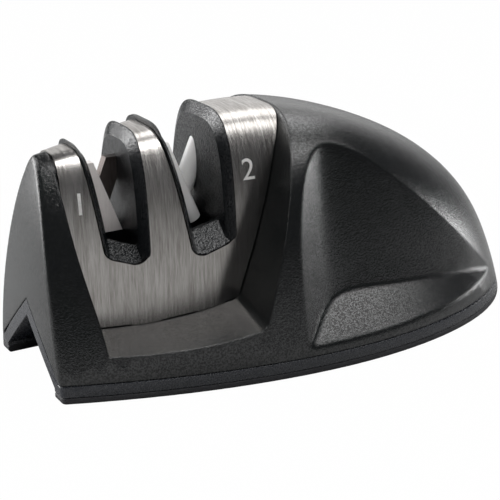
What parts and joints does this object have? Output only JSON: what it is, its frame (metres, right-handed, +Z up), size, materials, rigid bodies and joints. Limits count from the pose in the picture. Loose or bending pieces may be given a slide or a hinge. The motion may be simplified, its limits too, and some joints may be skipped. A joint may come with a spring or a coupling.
{
  "type": "pull-through knife sharpener",
  "caption": "Table-top pull-through knife sharpener: a domed black body with thumb dimples and a brushed steel saddle over a coarse and a fine V slot.",
  "frame": {"origin": "middle of the sole's outline, on the table", "axes": "+X from the nose (slot end) to the grip, along the body; +Y towards the back; +Z up"},
  "size_m": [0.1379, 0.07, 0.061],
  "materials": {
    "housing_abs": "fine satin texture",
    "base_abs": "fine satin texture",
    "sole_rubber": "matte",
    "cover_steel": "brushed across the plate",
    "cartridge_abs": "satin, sparkling moulded texture",
    "blade_carbide": "ground, satin",
    "rod_ceramic": "unglazed, fine",
    "screw_steel": "plated"
  },
  "bodies": {
    "root": {"upper_housing": "housing_abs", "base_plate": "base_abs", "rubber_sole": "sole_rubber", "cover_plate": "cover_steel", "coarse_cartridge_front": "cartridge_abs", "coarse_cartridge_rear": "cartridge_abs", "fine_cartridge_front": "cartridge_abs", "fine_cartridge_rear": "cartridge_abs", "coarse_blade_front": "blade_carbide", "coarse_blade_rear": "blade_carbide", "fine_rod_front": "rod_ceramic", "fine_rod_rear": "rod_ceramic", "cartridge_screws": "screw_steel", "base_screws": "screw_steel"}
  },
  "joints": []
}
